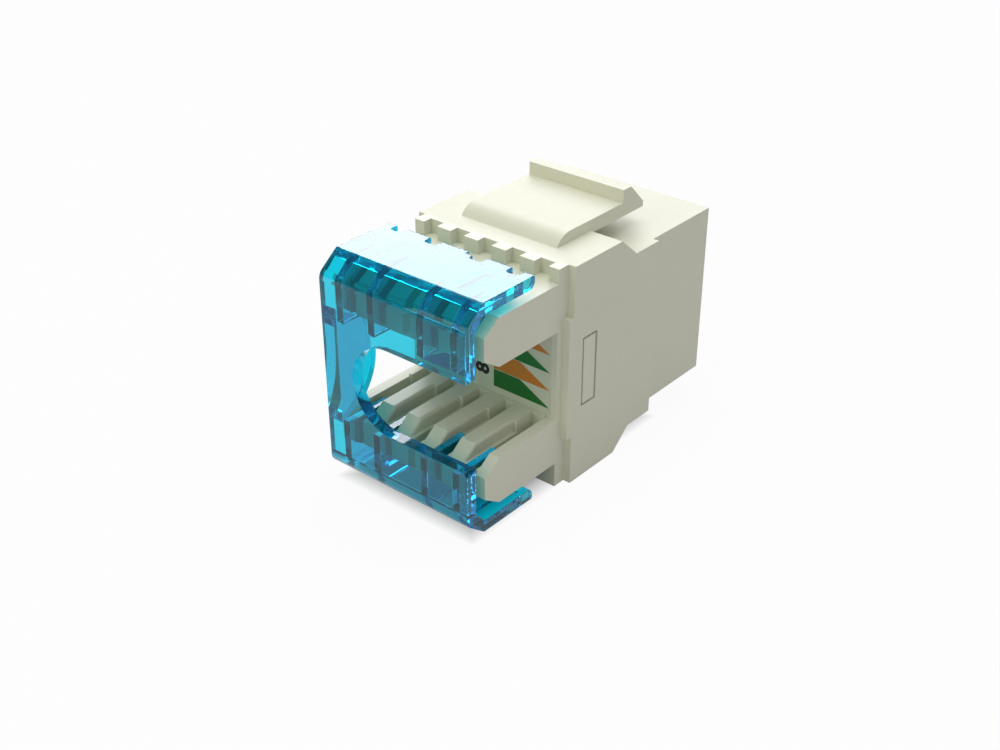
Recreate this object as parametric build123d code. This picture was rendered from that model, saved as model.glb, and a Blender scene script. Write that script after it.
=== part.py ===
from build123d import *
import os

# Keystone jack: a snap-in panel housing with an eight-way plug port at the front (+Y), a punch-down
# wire block at the back and a translucent wire cap pushed over it from behind. X is the width,
# Y the length and Z up. The origin is under the middle of the whole jack, on the surface it rests on.
# All sizes are in millimetres.

# Overall
OVERALL_LENGTH = 28.28      # outer face of the wire cap to the port face
FRONT_Y = OVERALL_LENGTH / 2
CAP_FACE_Y = -OVERALL_LENGTH / 2
FIT = 0.05                  # clearance round a piece that seats inside another
TINY = 0.001                # how closely an edge is matched to its place

# Housing
HOUSING_WIDTH = 14.5
HOUSING_HEIGHT = 17.7
HOUSING_WALL = 1.0          # side walls of the rear cavity
HOUSING_ROOF = 1.1          # roof and floor of the rear cavity
NOSE_WIDTH = 13.5           # nose round the plug port, narrower than the body
NOSE_BOTTOM_RISE = 2.16     # nose underside, above the housing's underside
NOSE_LENGTH = 7.48          # from the nose's shoulder to the port face
PANEL_STEP_LENGTH = 2.8     # flat length of the stretch that stands in the panel's opening
PANEL_STEP_DEPTH = 1.58     # how far that stretch lies in from the housing's top and underside
PANEL_RAMP = 1.85           # length of the slopes that lead down to it
CHEEK_LENGTH = 0.5          # middle stretch of the side walls, standing back beside the block
CHEEK_THICKNESS = 0.61
CHEEK_BELOW_MIDDLE = 4.85   # reach of that stretch below and above the housing's middle
CHEEK_ABOVE_MIDDLE = 4.9

# Snap windows in the housing's sides, and the tabs that fill them
WINDOW_LENGTH = 1.7
WINDOW_HEIGHT = 5.64
WINDOW_RAISE = 0.09         # window's centre above the housing's middle
WINDOW_SETBACK = 1.08       # rear edge of the housing to the window
TAB_GAP = 0.18
TAB_SINK = 0.02             # tab face, below the housing's side

# Latch, moulded with the housing
LATCH_WIDTH = 8.8
LATCH_THICKNESS = 1.08
LATCH_RISE = 0.83           # top of the arm, above the housing's top
LATCH_ROOT_SETBACK = 1.48   # rear edge of the housing to the latch's root
LATCH_ROOT_RUN = 1.57       # length of the rounded root
LATCH_OVERREACH = 1.9       # lower panel shoulder to the latch's tip
CATCH_HEIGHT = 1.01
CATCH_SETBACK = 0.68        # catch face, behind the lower panel shoulder
CATCH_FLAT = 0.93
TIP_EDGE = 0.45             # blunt height of the arm's tip

# Plug port
PORT_WIDTH = 11.8
PORT_HEIGHT = 6.9
PORT_DROP = 1.9             # port floor, below the housing's middle
TAB_STEP_WIDTH = 6.4        # upper step of the plug tab's slot
TAB_SLOT_WIDTH = 3.3        # lower step of the plug tab's slot
TAB_STEP_HEIGHT = 1.4
PORT_CHAMFER = 0.35
CHANNEL_FRONT_WALL = 2.7    # port face to the front end of the spring channel

# Wire block: flange, comb and plug part
FLANGE_THICKNESS = 1.07
SLAB_THICKNESS = 3.05       # part that stands inside the housing
SLOT_WIDTH = 1.28
SLOT_COUNT = 5              # wire slots in each row
END_FIN_WIDTH = 0.88        # outermost fin of each row
COMB_DEPTH = 0.75
CORE_WIDTH = 10.0           # cored pocket in the block's front side
CORE_HEIGHT = 5.8
CORE_DEPTH = 1.7

# Wire block: the two rows of fins
ROW_RAISE = 0.45            # line half way between the rows, above the housing's middle
ROW_INSET = 1.55            # how much nearer the middle the rows' outer faces are than the housing's
OUTER_FIN_HEIGHT = 3.7
INNER_FIN_EXTRA = 0.26      # inner fins stand this much nearer the middle
FIN_LENGTH = 7.8
INNER_TIP_SETBACK = 0.2     # inner fins are this much shorter
FIN_TO_PLATE = 0.93         # outer fins' tips to the cap's plate
TIP_CHAMFER_LENGTH = 1.52
TIP_CHAMFER_HEIGHT = 0.98
LEDGE_DEPTH = 1.0           # from the fins' inner face down to the ledge in each slot
LEDGE_WIDTH = 0.3
FIN_EDGE_RADIUS = 0.22      # lead-in on the -X side of each slot
STEP_TO_WALL = 2.15         # flange to the step where each slot narrows
SLOT_END_WALL = 0.4         # solid stretch between a slot's end and the flange
WEB_LENGTH = 2.6            # bridge across the slots on each row's outer side
WEB_THICKNESS = 0.8

# Wire contacts, one in every slot but the middle one
BLADE_THICKNESS = 0.4
BLADE_GAP = 0.48            # between neighbouring blades
BLADE_LENGTH = 5.6
BLADE_DEPTH = 1.4           # rows' outer faces to the blades' middle planes
BLADE_TIP_GAP = 0.3         # from the cap's ribs to the blade tips
FORK_GAP = 0.32
FORK_DEPTH = 3.1
FORK_MOUTH = 1.2
FORK_MOUTH_DEPTH = 0.8
FORK_RELIEF_RADIUS = 0.28
TINE_CHAMFER = 0.25
TAIL_WIDTH = 0.6

# Wire cap
CAP_OVER_FINS = 0.725       # rows' outer faces to the cap's flanges
CAP_PLATE = 0.97            # thickness of the upright plate
CAP_FLANGE = 0.95           # thickness of the two flanges
CAP_DEPTH = 7.1             # plate's outer face to the flanges' front edges
CAP_BEVEL_LENGTH = 1.8
CAP_BEVEL_HEIGHT = 1.4
CAP_INNER_BEVEL_LENGTH = 0.9
CAP_INNER_BEVEL_HEIGHT = 1.0
CAP_SHOULDER_RADIUS = 0.9   # between the plate and the bevels
CAP_EDGE_RADIUS = 0.25      # between the bevels and the flanges
FLANGE_LIP_RADIUS = 0.15    # outer front edge of each flange
FLANGE_NOSE_RADIUS = 0.55   # inner front edge of each flange
CABLE_SLOT_RADIUS = 3.45
CABLE_SLOT_X = -0.4
CABLE_SLOT_RISE = 0.24      # slot centre above the row centre line
SLOT_LEAD_RADIUS = 0.45
RIB_INNER_OFFSET = -0.29    # inner wire slots' centres to the ribs' centres, away from the middle
RIB_OUTER_OFFSET = 0.13
RIB_THICKNESS = 0.6
RIB_LENGTH = 3.68
RIB_BITE = 3.29             # rows' outer faces to the free edge of each rib
RIB_RELIEF = 0.05
NOTCH_INNER_OFFSET = -0.48  # inner and outer wire slots' centres to the notches' centres
NOTCH_OUTER_OFFSET = 0.18
NOTCH_WIDTH = 1.13
NOTCH_DEPTH = 0.83
NOTCH_RADIUS = 0.25
NOTCH_STEP_WIDTH = 1.2      # shallow step beside one inner notch
NOTCH_STEP_DEPTH = 0.4
PAD_WIDTH = 0.8             # pads that ride on the fins
PAD_LENGTH = 3.0
PAD_SETBACK = 1.9           # cap's inner face to the pads
PAD_CLEARANCE = 0.02

# Label, circuit board
LABEL_SIDE_MARGIN = 0.49    # each side of the block to the label
LABEL_FIN_GAP = 0.02        # inner fins to the label
LABEL_THICKNESS = 0.1
LABEL_CORNER = 0.15
BOARD_THICKNESS = 1.6
BOARD_MARGIN = 0.35         # board edge to the cavity's side walls
PIN_HOLE_DIAMETER = 0.8

# Plug contacts and their carrier
CONTACT_COUNT = 8
CONTACT_PITCH = 1.02
WIRE = 0.4                  # square spring wire
GROOVE_CLEARANCE = 0.04
PLATE_THICKNESS = 1.2
SHELF_SETBACK = 2.72        # front end of the spring channel to the shelf's front
SHELF_HEIGHT = 1.5
SHELF_WIDTH = 10.6
RUN_DROP = 0.5              # shelf top to the wires' centre line
BEND_REACH = 1.95           # shelf front to the crest of the wires' bend
SPRING_ROOM = 0.38          # upright room between the slanted wires' centre line and the shelf
FREE_END_DROP = 2.9         # port roof to the wires' free ends
FREE_END_GAP = 0.4          # plate to the wires' free ends
UPPER_PIN_DROP = 2.25       # port roof to the two rows of tails
LOWER_PIN_DROP = 3.65
LEG_INSET = 0.35            # back of the plate to the wires' upright legs
LEG_BEND_RADIUS = 0.35
CREST_RADIUS = 0.5
TAIL_SHORT = 0.1            # tails end this far inside the board
COMB_RIB_THICKNESS = 0.36
COMB_RIB_LENGTH = 1.7
COMB_RIB_DEPTH = 3.55       # port roof down to the comb ribs' lower ends

# Places worked out from the sizes above
HOUSING_LENGTH = OVERALL_LENGTH - CAP_PLATE - FIN_TO_PLATE - FIN_LENGTH - FLANGE_THICKNESS
HOUSING_MID_Z = HOUSING_HEIGHT / 2
REAR_Y = FRONT_Y - HOUSING_LENGTH
FLANGE_Y = REAR_Y - FLANGE_THICKNESS
FIN_TIP_Y = FLANGE_Y - FIN_LENGTH
SLAB_FRONT_Y = REAR_Y + SLAB_THICKNESS
BOARD_FRONT_Y = SLAB_FRONT_Y + BOARD_THICKNESS
CAVITY_FRONT_Y = BOARD_FRONT_Y + PLATE_THICKNESS
CHEEK_BOTTOM = HOUSING_MID_Z - CHEEK_BELOW_MIDDLE
CHEEK_TOP = HOUSING_MID_Z + CHEEK_ABOVE_MIDDLE
WINDOW_CENTRE_Z = HOUSING_MID_Z + WINDOW_RAISE
BLOCK_WIDTH = HOUSING_WIDTH - 2 * CHEEK_THICKNESS
CAP_WIDTH = BLOCK_WIDTH
SLOT_PITCH = (BLOCK_WIDTH - 2 * END_FIN_WIDTH - SLOT_WIDTH) / (SLOT_COUNT - 1)
BLADE_WIDTH = SLOT_PITCH - BLADE_GAP
ROW_CENTRE_Z = HOUSING_MID_Z + ROW_RAISE
ROW_OUTER = HOUSING_MID_Z - ROW_INSET
ROW_INNER = ROW_OUTER - OUTER_FIN_HEIGHT - INNER_FIN_EXTRA
BLADE_OUTSET = ROW_OUTER - BLADE_DEPTH
CAP_HEIGHT = 2 * (ROW_OUTER + CAP_OVER_FINS + CAP_FLANGE)
LABEL_WIDTH = BLOCK_WIDTH - 2 * LABEL_SIDE_MARGIN
LABEL_HEIGHT = 2 * (ROW_INNER - LABEL_FIN_GAP)
CAP_INNER_Y = CAP_FACE_Y + CAP_PLATE
CAP_FRONT_Y = CAP_FACE_Y + CAP_DEPTH
RIB_END_Y = CAP_INNER_Y + RIB_LENGTH
BLADE_TIP_Y = RIB_END_Y + BLADE_TIP_GAP
SHOULDER_Y = FRONT_Y - NOSE_LENGTH
LATCH_ROOT_Y = REAR_Y + LATCH_ROOT_SETBACK
LATCH_TIP_Y = SHOULDER_Y + LATCH_OVERREACH
CATCH_FACE_Y = SHOULDER_Y - CATCH_SETBACK
NOSE_TOP_Z = HOUSING_HEIGHT - PANEL_STEP_DEPTH
PORT_BOTTOM = HOUSING_MID_Z - PORT_DROP
PORT_TOP = PORT_BOTTOM + PORT_HEIGHT
SHELF_TOP = PORT_TOP + SHELF_HEIGHT
CHANNEL_FRONT_Y = FRONT_Y - CHANNEL_FRONT_WALL
SHELF_FRONT_Y = CHANNEL_FRONT_Y - SHELF_SETBACK
SLAB_WIDTH = HOUSING_WIDTH - 2 * HOUSING_WALL - 2 * FIT
SLAB_HEIGHT = HOUSING_HEIGHT - 2 * HOUSING_ROOF - 2 * FIT
FIN_TOP_Z = ROW_CENTRE_Z + ROW_OUTER
SLOT_SPAN = (SLOT_COUNT - 1) * SLOT_PITCH + SLOT_WIDTH
CAP_TOP_Z = ROW_CENTRE_Z + CAP_HEIGHT / 2
CAP_UNDERSIDE_Z = CAP_TOP_Z - CAP_FLANGE
RUN_Z = SHELF_TOP - RUN_DROP

SLOT_XS = [(i - (SLOT_COUNT - 1) / 2) * SLOT_PITCH for i in range(SLOT_COUNT)]
WIRED_SLOT_XS = [x for x in SLOT_XS if abs(x) > SLOT_WIDTH / 2]
CONTACT_XS = [(i - (CONTACT_COUNT - 1) / 2) * CONTACT_PITCH for i in range(CONTACT_COUNT)]
RIB_HALF = [SLOT_PITCH + RIB_INNER_OFFSET, 2 * SLOT_PITCH + RIB_OUTER_OFFSET]
RIB_XS = [-RIB_HALF[1], -RIB_HALF[0], RIB_HALF[0], RIB_HALF[1]]
NOTCH_HALF = [SLOT_PITCH + NOTCH_INNER_OFFSET, 2 * SLOT_PITCH + NOTCH_OUTER_OFFSET]
NOTCH_XS = [-NOTCH_HALF[1], -NOTCH_HALF[0], NOTCH_HALF[0], NOTCH_HALF[1]]


def block(x0, x1, y0, y1, z0, z1):
    """A rectangular solid between two corners."""
    return Pos((x0 + x1) / 2, (y0 + y1) / 2, (z0 + z1) / 2) * Box(x1 - x0, y1 - y0, z1 - z0)


def side_solid(points, width, close=True):
    """A (Y, Z) outline drawn on the middle plane and thickened evenly to both sides."""
    face = make_face(Plane.YZ * Polyline(*points, close=close))
    return extrude(face, width / 2, both=True)


def row_mirror(shape):
    """The same shape for the other row, turned over about the line between the rows."""
    return mirror(shape, Plane.XY.offset(ROW_CENTRE_Z))


def housing_body():
    """Full-height rear, the lower stretch for the panel's opening, and the narrower nose."""
    step_y = SHOULDER_Y - PANEL_STEP_LENGTH
    ramp_y = step_y - PANEL_RAMP
    outline = [
        (REAR_Y, 0), (ramp_y, 0), (step_y, PANEL_STEP_DEPTH), (SHOULDER_Y, PANEL_STEP_DEPTH),
        (SHOULDER_Y, NOSE_TOP_Z), (step_y, NOSE_TOP_Z), (ramp_y, HOUSING_HEIGHT), (REAR_Y, HOUSING_HEIGHT),
    ]
    nose = block(-NOSE_WIDTH / 2, NOSE_WIDTH / 2, SHOULDER_Y, FRONT_Y, NOSE_BOTTOM_RISE, NOSE_TOP_Z)
    return side_solid(outline, HOUSING_WIDTH) + nose


def latch():
    """Springy arm over the step in the top, with a rounded root and a ramped catch."""
    top = HOUSING_HEIGHT + LATCH_RISE
    bottom = top - LATCH_THICKNESS
    crest = top + CATCH_HEIGHT
    root_end = (LATCH_ROOT_Y + LATCH_ROOT_RUN, top)
    root_start = (LATCH_ROOT_Y, HOUSING_HEIGHT)
    lines = Polyline(
        root_end, (CATCH_FACE_Y, top), (CATCH_FACE_Y, crest), (CATCH_FACE_Y + CATCH_FLAT, crest),
        (LATCH_TIP_Y, bottom + TIP_EDGE), (LATCH_TIP_Y, bottom), (LATCH_ROOT_Y, bottom), root_start,
    )
    root = TangentArc(root_end, root_start, tangent=(-1, 0))
    return extrude(make_face(Plane.YZ * (lines + root)), LATCH_WIDTH / 2, both=True)


def port_outline():
    """Plug opening with the two-step slot for the plug's tab below it, seen from the front."""
    steps = [(TAB_STEP_WIDTH / 2, TAB_STEP_HEIGHT), (TAB_SLOT_WIDTH / 2, 2 * TAB_STEP_HEIGHT)]
    right = [(PORT_WIDTH / 2, PORT_TOP), (PORT_WIDTH / 2, PORT_BOTTOM)]
    for (half, depth), above in zip(steps, (0, TAB_STEP_HEIGHT)):
        right += [(half, PORT_BOTTOM - above), (half, PORT_BOTTOM - depth)]
    left = [(-x, z) for x, z in reversed(right)]
    return Polyline(*right, *left, close=True)


def make_housing():
    """One-piece moulding: stepped body, latch, plug port, rear cavity and side windows."""
    body = housing_body() + latch()
    cheek_inner = BLOCK_WIDTH / 2
    for side in (-1, 1):
        inner, outer = sorted((side * cheek_inner, side * HOUSING_WIDTH / 2))
        body += block(inner, outer, REAR_Y - CHEEK_LENGTH, REAR_Y, CHEEK_BOTTOM, CHEEK_TOP)
    half = HOUSING_WIDTH / 2 - HOUSING_WALL
    body -= block(-half, half, REAR_Y, CAVITY_FRONT_Y, HOUSING_ROOF, HOUSING_HEIGHT - HOUSING_ROOF)
    channel_half = SHELF_WIDTH / 2 + FIT
    body -= block(-channel_half, channel_half, CAVITY_FRONT_Y, CHANNEL_FRONT_Y,
                  PORT_TOP, SHELF_TOP + FIT)
    # The port is cut from the front plane back into the cavity; its mouth is chamfered all round.
    mouth = Plane((0, FRONT_Y, 0), x_dir=(1, 0, 0), z_dir=(0, -1, 0))
    body -= extrude(mouth * make_face(port_outline()), FRONT_Y - CAVITY_FRONT_Y)
    window_y = REAR_Y + WINDOW_SETBACK
    body -= block(-HOUSING_WIDTH, HOUSING_WIDTH, window_y, window_y + WINDOW_LENGTH,
                  WINDOW_CENTRE_Z - WINDOW_HEIGHT / 2, WINDOW_CENTRE_Z + WINDOW_HEIGHT / 2)
    front = body.faces().sort_by(Axis.Y)[-1]
    return chamfer(front.inner_wires()[0].edges(), PORT_CHAMFER)


def fin_bar(inner_extra, tip_setback, width):
    """A bar along the upper row of fins, with its chamfered tip, before the slots are cut."""
    outer_z = FIN_TOP_Z
    inner_z = FIN_TOP_Z - OUTER_FIN_HEIGHT - inner_extra
    full_y = FIN_TIP_Y + TIP_CHAMFER_LENGTH
    tip_y = FIN_TIP_Y + tip_setback
    outline = [
        (FLANGE_Y, outer_z), (full_y, outer_z), (tip_y, outer_z - TIP_CHAMFER_HEIGHT),
        (tip_y, inner_z + TIP_CHAMFER_HEIGHT), (full_y, inner_z), (FLANGE_Y, inner_z),
    ]
    return side_solid(outline, width)


def upper_row():
    """Upper row: fins with stepped slots, and a web that bridges the slots' outer ends."""
    inner_bar = fin_bar(INNER_FIN_EXTRA, INNER_TIP_SETBACK, SLOT_SPAN)
    end_bars = fin_bar(0, 0, BLOCK_WIDTH) - fin_bar(0, 0, SLOT_SPAN)
    row = end_bars + inner_bar
    inner_z = ROW_CENTRE_Z + ROW_INNER
    step_y = FLANGE_Y - STEP_TO_WALL
    end_y = FLANGE_Y - SLOT_END_WALL
    ledge_z = inner_z + LEDGE_DEPTH
    half = SLOT_WIDTH / 2
    throat = half - LEDGE_WIDTH
    for x in SLOT_XS:
        row -= block(x - half, x + half, FIN_TIP_Y, step_y, inner_z, ledge_z)
        row -= block(x - throat, x + half, step_y, end_y, inner_z, ledge_z)
        row -= block(x - throat, x + throat, FIN_TIP_Y, FLANGE_Y - WEB_LENGTH, inner_z, FIN_TOP_Z)
        row -= block(x - throat, x + throat, FIN_TIP_Y, end_y, inner_z, FIN_TOP_Z - WEB_THICKNESS)
    row = fillet(lead_in_edges(row, [x - half for x in SLOT_XS[1:]], step_y), FIN_EDGE_RADIUS)
    return row - rib_reliefs()


def lead_in_edges(row, xs, step_y):
    """Inner edges of the fins at the given X, from their steps round the lower tip chamfers."""
    tip_z = ROW_CENTRE_Z + ROW_INNER + TIP_CHAMFER_HEIGHT
    return [edge for edge in row.edges()
            if min(abs(edge.center().X - x) for x in xs) < TINY
            and edge.bounding_box().size.Y > SLOT_WIDTH / 2
            and edge.bounding_box().max.Y < step_y + TINY
            and edge.bounding_box().max.Z < tip_z + TINY]


def rib_reliefs():
    """Clearance in the upper fins for the cap's ribs."""
    half = RIB_THICKNESS / 2 + RIB_RELIEF
    inner_z = FIN_TOP_Z - RIB_BITE - RIB_RELIEF
    cuts = [block(x - half, x + half, FIN_TIP_Y, RIB_END_Y + RIB_RELIEF, inner_z, FIN_TOP_Z)
            for x in RIB_XS]
    return Part() + cuts


def blade_pockets():
    """Slits in the upper half of the block that hold the wire contacts."""
    z = ROW_CENTRE_Z + BLADE_OUTSET
    return Part() + [
        block(x - BLADE_WIDTH / 2, x + BLADE_WIDTH / 2, BLADE_TIP_Y, SLAB_FRONT_Y,
              z - BLADE_THICKNESS / 2, z + BLADE_THICKNESS / 2)
        for x in WIRED_SLOT_XS]


def make_idc_block():
    """Punch-down block: comb-topped flange, two rows of fins, and the part inside the housing."""
    half = BLOCK_WIDTH / 2
    body = block(-half, half, FLANGE_Y, REAR_Y, 0, HOUSING_HEIGHT)
    for x in SLOT_XS:
        body -= block(x - SLOT_WIDTH / 2, x + SLOT_WIDTH / 2, FLANGE_Y, FLANGE_Y + COMB_DEPTH,
                      FIN_TOP_Z, HOUSING_HEIGHT)
    slab = Pos(0, REAR_Y + SLAB_THICKNESS / 2, HOUSING_MID_Z) * Box(SLAB_WIDTH, SLAB_THICKNESS, SLAB_HEIGHT)
    core = Pos(0, SLAB_FRONT_Y - CORE_DEPTH / 2, ROW_CENTRE_Z) * Box(CORE_WIDTH, CORE_DEPTH, CORE_HEIGHT)
    body += slab - core
    tab_half = HOUSING_WIDTH / 2 - TAB_SINK
    tab_y = REAR_Y + WINDOW_SETBACK + TAB_GAP
    for side in (-1, 1):
        inner, outer = sorted((side * (SLAB_WIDTH / 2 - FIT), side * tab_half))
        body += block(inner, outer, tab_y, tab_y + WINDOW_LENGTH - 2 * TAB_GAP,
                      WINDOW_CENTRE_Z - WINDOW_HEIGHT / 2 + TAB_GAP,
                      WINDOW_CENTRE_Z + WINDOW_HEIGHT / 2 - TAB_GAP)
    row = upper_row()
    body += row + row_mirror(row)
    pockets = blade_pockets()
    return body - pockets - row_mirror(pockets)


def corner_edges(shape, corners):
    """Edges along X that pass through any of the given (Y, Z) corners or their mirror images."""
    both = corners + [(y, 2 * ROW_CENTRE_Z - z) for y, z in corners]
    return [edge for edge in shape.edges().filter_by(Axis.X)
            if any(abs(edge.center().Y - y) < TINY and abs(edge.center().Z - z) < TINY for y, z in both)]


def cap_outside():
    """Solid outer form of the cap: a bevelled and rounded bar, as if it had no hollow."""
    shoulder = (CAP_FACE_Y, CAP_TOP_Z - CAP_BEVEL_HEIGHT)
    edge = (CAP_FACE_Y + CAP_BEVEL_LENGTH, CAP_TOP_Z)
    lip = (CAP_FRONT_Y, CAP_TOP_Z)
    half = [lip, edge, shoulder]
    form = side_solid(half + [(y, 2 * ROW_CENTRE_Z - z) for y, z in reversed(half)], CAP_WIDTH)
    form = fillet(corner_edges(form, [shoulder]), CAP_SHOULDER_RADIUS)
    form = fillet(corner_edges(form, [edge]), CAP_EDGE_RADIUS)
    return fillet(corner_edges(form, [lip]), FLANGE_LIP_RADIUS)


def cap_hollow():
    """The space inside the cap, open at the front and at both ends."""
    half = [
        (CAP_FRONT_Y + CAP_PLATE, CAP_UNDERSIDE_Z),
        (CAP_INNER_Y + CAP_INNER_BEVEL_LENGTH, CAP_UNDERSIDE_Z),
        (CAP_INNER_Y, CAP_UNDERSIDE_Z - CAP_INNER_BEVEL_HEIGHT),
    ]
    return side_solid(half + [(y, 2 * ROW_CENTRE_Z - z) for y, z in reversed(half)], 2 * CAP_WIDTH)


def cap_ribs_and_pads():
    """Upper ribs that press the wires home, and the pads that ride on the fins."""
    details = Part()
    for x in RIB_XS:
        details += block(x - RIB_THICKNESS / 2, x + RIB_THICKNESS / 2, CAP_INNER_Y, RIB_END_Y,
                         FIN_TOP_Z - RIB_BITE, CAP_UNDERSIDE_Z)
    fin_x = 1.5 * SLOT_PITCH    # middle of the fin between the two outer slots
    pad_y = CAP_INNER_Y + PAD_SETBACK
    for x in (-fin_x, fin_x):
        details += block(x - PAD_WIDTH / 2, x + PAD_WIDTH / 2, pad_y, pad_y + PAD_LENGTH,
                         FIN_TOP_Z + PAD_CLEARANCE, CAP_UNDERSIDE_Z)
    return details


def cable_slot():
    """Cutter for the cable slot: a round end with straight sides that run out to the +X end."""
    slot_z = ROW_CENTRE_Z + CABLE_SLOT_RISE
    mid_y = (CAP_FACE_Y + CAP_INNER_Y) / 2
    round_end = Pos(CABLE_SLOT_X, mid_y, slot_z) * Rot(90, 0, 0) * Cylinder(CABLE_SLOT_RADIUS, 2 * CAP_PLATE)
    return round_end + block(CABLE_SLOT_X, CAP_WIDTH, CAP_FACE_Y - CAP_PLATE, CAP_INNER_Y + CAP_PLATE / 2,
                             slot_z - CABLE_SLOT_RADIUS, slot_z + CABLE_SLOT_RADIUS)


def make_wire_cap():
    """Translucent cap: bevelled C-section, cable slot open to one side, ribs, notches and pads."""
    form = cap_outside()
    cap = form - cap_hollow()
    cap = fillet(corner_edges(cap, [(CAP_FRONT_Y, CAP_UNDERSIDE_Z)]), FLANGE_NOSE_RADIUS)
    details = cap_ribs_and_pads()
    cap += form & (details + row_mirror(details))
    cap -= cable_slot()
    lip_z = ROW_CENTRE_Z + CABLE_SLOT_RISE - CABLE_SLOT_RADIUS
    lip = [edge for edge in cap.edges().filter_by(Axis.Y)
           if abs(edge.center().X - CAP_WIDTH / 2) < TINY and abs(edge.center().Z - lip_z) < TINY]
    cap = fillet(lip, SLOT_LEAD_RADIUS)
    notch = extrude(RectangleRounded(NOTCH_WIDTH, 2 * NOTCH_DEPTH, NOTCH_RADIUS), CAP_HEIGHT, both=True)
    cap -= [Pos(x, CAP_FRONT_Y, ROW_CENTRE_Z) * notch for x in NOTCH_XS]
    step_x = NOTCH_HALF[0]
    step = block(step_x - NOTCH_STEP_WIDTH, step_x, CAP_FRONT_Y - NOTCH_STEP_DEPTH, CAP_FRONT_Y,
                 ROW_CENTRE_Z, CAP_TOP_Z)
    return cap - step


def make_wiring_label():
    """Thin label on the block's wall, between the two rows."""
    face = Plane((0, FLANGE_Y, ROW_CENTRE_Z), x_dir=(1, 0, 0), z_dir=(0, -1, 0))
    return extrude(face * RectangleRounded(LABEL_WIDTH, LABEL_HEIGHT, LABEL_CORNER), LABEL_THICKNESS)


def make_circuit_board():
    """Board between the wire block and the contact carrier, drilled for every tail."""
    width = HOUSING_WIDTH - 2 * (HOUSING_WALL + BOARD_MARGIN)
    height = HOUSING_HEIGHT - 2 * (HOUSING_ROOF + BOARD_MARGIN)
    mid_y = (SLAB_FRONT_Y + BOARD_FRONT_Y) / 2
    board = Pos(0, mid_y, HOUSING_MID_Z) * Box(width, BOARD_THICKNESS, height)
    drill = Rot(90, 0, 0) * Cylinder(PIN_HOLE_DIAMETER / 2, 2 * BOARD_THICKNESS)
    wire_tails = [(x, ROW_CENTRE_Z + side * BLADE_OUTSET) for x in WIRED_SLOT_XS for side in (-1, 1)]
    plug_tails = [(x, pin_height(i)) for i, x in enumerate(CONTACT_XS)]
    return board - [Pos(x, mid_y, z) * drill for x, z in wire_tails + plug_tails]


def pin_height(index):
    """Height of one plug contact's tail: neighbours alternate between two rows of holes."""
    return PORT_TOP - (UPPER_PIN_DROP if index % 2 == 0 else LOWER_PIN_DROP)


def make_contact_carrier():
    """Insert behind the port: grooved plate and shelf that hold the springs, and a comb between them."""
    width = SLAB_WIDTH
    plate = Pos(0, BOARD_FRONT_Y + PLATE_THICKNESS / 2, HOUSING_MID_Z) * Box(
        width, PLATE_THICKNESS, SLAB_HEIGHT)
    half = SHELF_WIDTH / 2
    shelf = block(-half, half, CAVITY_FRONT_Y, SHELF_FRONT_Y, PORT_TOP, SHELF_TOP)
    free, crest = spring_slant()
    below = [(free[0], free[1] + SPRING_ROOM), (crest[0], crest[1] + SPRING_ROOM), (crest[0], free[1])]
    carrier = plate + (shelf - side_solid(below, SHELF_WIDTH))
    for i in range(CONTACT_COUNT + 1):
        x = (i - CONTACT_COUNT / 2) * CONTACT_PITCH
        carrier += block(x - COMB_RIB_THICKNESS / 2, x + COMB_RIB_THICKNESS / 2, CAVITY_FRONT_Y,
                         CAVITY_FRONT_Y + COMB_RIB_LENGTH, PORT_TOP - COMB_RIB_DEPTH, PORT_TOP)
    groove = WIRE / 2 + GROOVE_CLEARANCE
    for i, x in enumerate(CONTACT_XS):
        leg_front = BOARD_FRONT_Y + LEG_INSET + groove
        carrier -= block(x - groove, x + groove, BOARD_FRONT_Y, leg_front,
                         pin_height(i) - groove, SHELF_TOP)
        carrier -= block(x - groove, x + groove, BOARD_FRONT_Y, SHELF_FRONT_Y, RUN_Z - groove, SHELF_TOP)
    return carrier


def spring_slant():
    """Free end and crest of the plug contacts' slanted stretch, as (Y, Z) points."""
    free_end = (CAVITY_FRONT_Y + FREE_END_GAP, PORT_TOP - FREE_END_DROP)
    return free_end, (SHELF_FRONT_Y + BEND_REACH, RUN_Z)


def make_plug_contact(index):
    """Square spring wire: tail, upright leg, run along the shelf, bend and free end in the port."""
    leg_y = BOARD_FRONT_Y + LEG_INSET
    free, crest = spring_slant()
    tail_y = SLAB_FRONT_Y + TAIL_SHORT
    pin_z = pin_height(index)
    points = [(tail_y, pin_z), (leg_y, pin_z), (leg_y, RUN_Z), crest, free]
    path = FilletPolyline(*points, radius=[LEG_BEND_RADIUS, LEG_BEND_RADIUS, CREST_RADIUS])
    ribbon = Plane.YZ * trace(path, WIRE)
    return Pos(CONTACT_XS[index], 0, 0) * extrude(ribbon, WIRE / 2, both=True)


def make_idc_contact(x, z):
    """Forked blade that grips a wire in its slot, with a tail that reaches the board."""
    middle_y = BLADE_TIP_Y + BLADE_LENGTH / 2
    blade = Pos(0, middle_y) * Rectangle(BLADE_WIDTH, BLADE_LENGTH)
    blade = chamfer(blade.vertices().group_by(Axis.Y)[0], TINE_CHAMFER)
    blade -= Pos(0, BLADE_TIP_Y + FORK_DEPTH / 2) * Rectangle(FORK_GAP, FORK_DEPTH)
    blade -= Pos(0, BLADE_TIP_Y + FORK_DEPTH) * Circle(FORK_RELIEF_RADIUS)
    blade -= make_face(Polyline((-FORK_MOUTH / 2, BLADE_TIP_Y), (FORK_MOUTH / 2, BLADE_TIP_Y),
                                (0, BLADE_TIP_Y + FORK_MOUTH_DEPTH), close=True))
    tail_end = BOARD_FRONT_Y - TAIL_SHORT
    tail_start = BLADE_TIP_Y + BLADE_LENGTH
    blade += Pos(0, (tail_start + tail_end) / 2) * Rectangle(TAIL_WIDTH, tail_end - tail_start)
    return Pos(x, 0, z) * extrude(blade, BLADE_THICKNESS / 2, both=True)


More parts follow.
